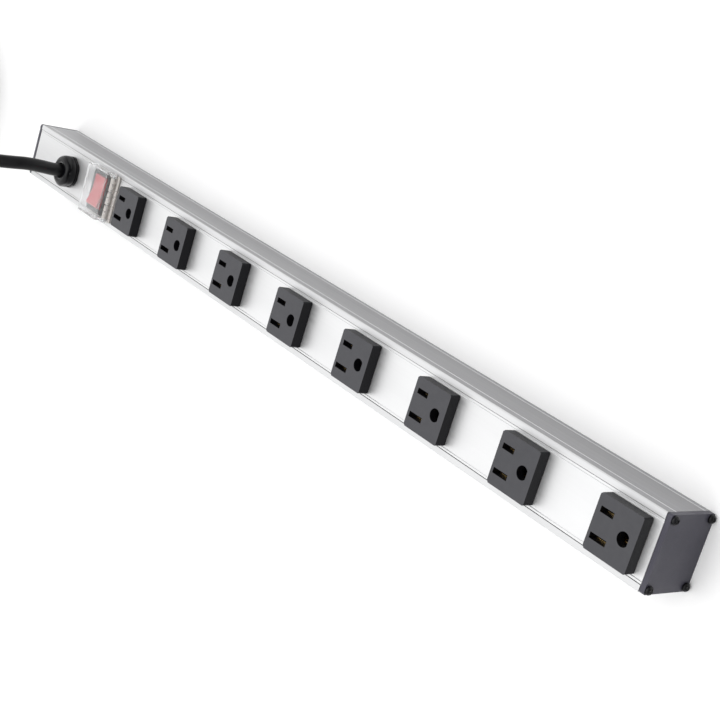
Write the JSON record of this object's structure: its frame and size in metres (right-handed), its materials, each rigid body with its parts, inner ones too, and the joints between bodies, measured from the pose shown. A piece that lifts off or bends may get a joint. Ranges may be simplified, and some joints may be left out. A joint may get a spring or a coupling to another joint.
{
  "type": "power strip",
  "caption": "Slim aluminium power strip with grounded outlets in a row, a guarded rocker switch, a cord gland and a tied mains cord with its plug.",
  "frame": {"origin": "centre of the strip's back face, which it rests on", "axes": "+X along the strip away from the cord, +Y across it, +Z out of the outlets"},
  "size_m": [0.9354, 0.0658, 0.1145],
  "materials": {
    "aluminium": "satin clear anodised extrusion",
    "end_plate": "semi-matte charcoal powder coat",
    "screw": "black oxide",
    "socket_plastic": "fine moulded texture",
    "fibre_liner": "pressed fibre paper",
    "brass": "stamped",
    "black_nylon": "moulded nylon",
    "red_plastic": "clear red moulded",
    "clear_plastic": "translucent moulded",
    "steel": "drawn wire",
    "seal_rubber": "matte",
    "cord_jacket": "extruded jacket, semi-matte",
    "wire_black": "insulation",
    "wire_white": "insulation",
    "wire_green": "insulation",
    "tie_strap": "woven hook-and-loop"
  },
  "bodies": {
    "strip": {"housing": "aluminium", "front_panel": "aluminium", "end_plate_left": "end_plate", "end_plate_right": "end_plate", "end_screw_left_1": "screw", "end_screw_left_2": "screw", "end_screw_left_3": "screw", "end_screw_left_4": "screw", "end_screw_right_1": "screw", "end_screw_right_2": "screw", "end_screw_right_3": "screw", "end_screw_right_4": "screw", "outlet_1": "socket_plastic", "outlet_2": "socket_plastic", "outlet_3": "socket_plastic", "outlet_4": "socket_plastic", "outlet_5": "socket_plastic", "outlet_6": "socket_plastic", "outlet_7": "socket_plastic", "outlet_8": "socket_plastic", "insulating_liner": "fibre_liner", "bus_line": "brass", "bus_neutral": "brass", "bus_ground": "brass", "switch_terminal_1": "brass", "switch_terminal_2": "brass", "switch_terminal_3": "brass", "plug_blade_line": "brass", "plug_blade_neutral": "brass", "plug_ground_pin": "brass", "switch_body": "black_nylon", "cover_base": "clear_plastic", "cover_pin": "steel", "gland_body": "black_nylon", "gland_nut": "black_nylon", "gland_locknut": "black_nylon", "gland_seal": "seal_rubber", "cord_inner": "cord_jacket", "cord": "cord_jacket", "cord_hank": "cord_jacket", "cord_tail": "cord_jacket", "plug_body": "cord_jacket", "wire_line_in": "wire_black", "wire_line_out": "wire_black", "wire_neutral": "wire_white", "wire_ground": "wire_green", "cord_tie": "tie_strap"},
    "rocker": {"switch_rocker": "red_plastic"},
    "cover": {"switch_cover": "clear_plastic"}
  },
  "joints": [
    {"name": "rocker_tilt", "type": "hinge", "parent": "strip", "child": "rocker", "pos_m": [-0.1984, 0, 0.0298], "axis": [1, 0, 0], "range_deg": [0, 14]},
    {"name": "cover_flip", "type": "hinge", "parent": "strip", "child": "cover", "pos_m": [-0.1828, 0, 0.0331], "axis": [0, 1, 0], "range_deg": [0, 105]}
  ]
}
